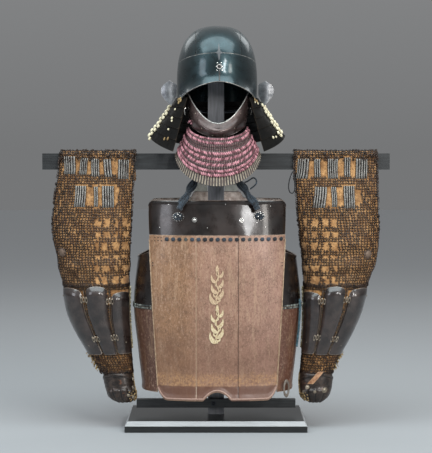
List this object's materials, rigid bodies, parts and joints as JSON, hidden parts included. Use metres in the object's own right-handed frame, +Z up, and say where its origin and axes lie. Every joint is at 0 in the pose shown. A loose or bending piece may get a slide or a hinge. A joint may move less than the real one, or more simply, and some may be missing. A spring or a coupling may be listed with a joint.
{
  "type": "samurai armour on a display stand",
  "caption": "Japanese plate armour without skirts: helmet with neck guard, half mask, throat guard, cuirass and mail sleeves, hung on a T-shaped wooden stand.",
  "frame": {"origin": "centre of the underside of the stand's base, on the surface it stands on", "axes": "+Z up, the armour faces -Y, +X to the right of someone who looks at its front"},
  "size_m": [0.859, 0.3273, 0.994],
  "materials": {
    "dark_wood": "dark painted wood, satin, with worn edges",
    "grey_wood": "grey painted wood, matt",
    "helmet_lacquer": "black lacquered iron, glossy, worn to grey along the plate edges",
    "silvered_iron": "silver-grey lacquered iron",
    "neck_lacquer": "black lacquered lames",
    "mask_lacquer": "russet-black lacquered iron",
    "laced_lame": "pink, dark red and grey silk lacing over lacquered lames",
    "striped_lame": "grey and brown leather strips",
    "black_lacquer": "black lacquered iron, glossy",
    "front_leather": "brown leather facing, crackled and rubbed",
    "side_leather": "dark brown leather, abraded",
    "strap_leather": "leather straps, pale lining",
    "sleeve_mail": "ochre cloth under rusted iron mail",
    "arm_lacquer": "brown-black lacquered iron",
    "navy_silk": "navy silk braid",
    "teal_silk": "teal silk braid",
    "black_silk": "black silk braid",
    "pale_cord": "pale stiff cord"
  },
  "bodies": {
    "root": {"arm_plate_left_inner": "arm_lacquer", "arm_plate_left_middle": "arm_lacquer", "arm_plate_left_outer": "arm_lacquer", "arm_plate_right_inner": "arm_lacquer", "arm_plate_right_middle": "arm_lacquer", "arm_plate_right_outer": "arm_lacquer", "cuirass_back_centre": "front_leather", "cuirass_back_left": "front_leather", "cuirass_back_right": "front_leather", "cuirass_back_top": "black_lacquer", "cuirass_chest_plate": "black_lacquer", "cuirass_front_centre": "front_leather", "cuirass_front_left": "front_leather", "cuirass_front_right": "front_leather", "cuirass_side_left": "side_leather", "cuirass_side_right": "side_leather", "cuirass_underarm_left": "black_lacquer", "cuirass_underarm_right": "black_lacquer", "hand_guard_left": "arm_lacquer", "hand_guard_right": "arm_lacquer", "helmet_brow_plate": "helmet_lacquer", "helmet_ear_left": "silvered_iron", "helmet_ear_right": "silvered_iron", "helmet_side_left": "helmet_lacquer", "helmet_side_right": "helmet_lacquer", "helmet_top_plate": "helmet_lacquer", "helmet_waist_plate": "helmet_lacquer", "mask": "mask_lacquer", "mask_tie_cord": "navy_silk", "neck_cord_bow": "navy_silk", "neck_cord_left": "navy_silk", "neck_cord_right": "navy_silk", "neck_guard_lame_1": "neck_lacquer", "neck_guard_lame_2": "neck_lacquer", "neck_guard_lame_3": "neck_lacquer", "neck_guard_lame_4": "neck_lacquer", "neck_guard_lame_5": "neck_lacquer", "shoulder_strap_left": "strap_leather", "shoulder_strap_right": "strap_leather", "side_cord": "teal_silk", "side_ring": "pale_cord", "sleeve_left_forearm": "sleeve_mail", "sleeve_left_upper": "sleeve_mail", "sleeve_left_wrist": "sleeve_mail", "sleeve_loop": "black_silk", "sleeve_right_forearm": "sleeve_mail", "sleeve_right_upper": "sleeve_mail", "sleeve_right_wrist": "sleeve_mail", "stand_base": "dark_wood", "stand_crossbar": "dark_wood", "stand_head_block": "grey_wood", "stand_lower_bar": "dark_wood", "stand_post": "grey_wood", "throat_guard_lame_1": "laced_lame", "throat_guard_lame_2": "laced_lame", "throat_guard_lame_3": "laced_lame", "throat_guard_lame_4": "laced_lame", "throat_guard_lame_5": "striped_lame"}
  },
  "joints": []
}
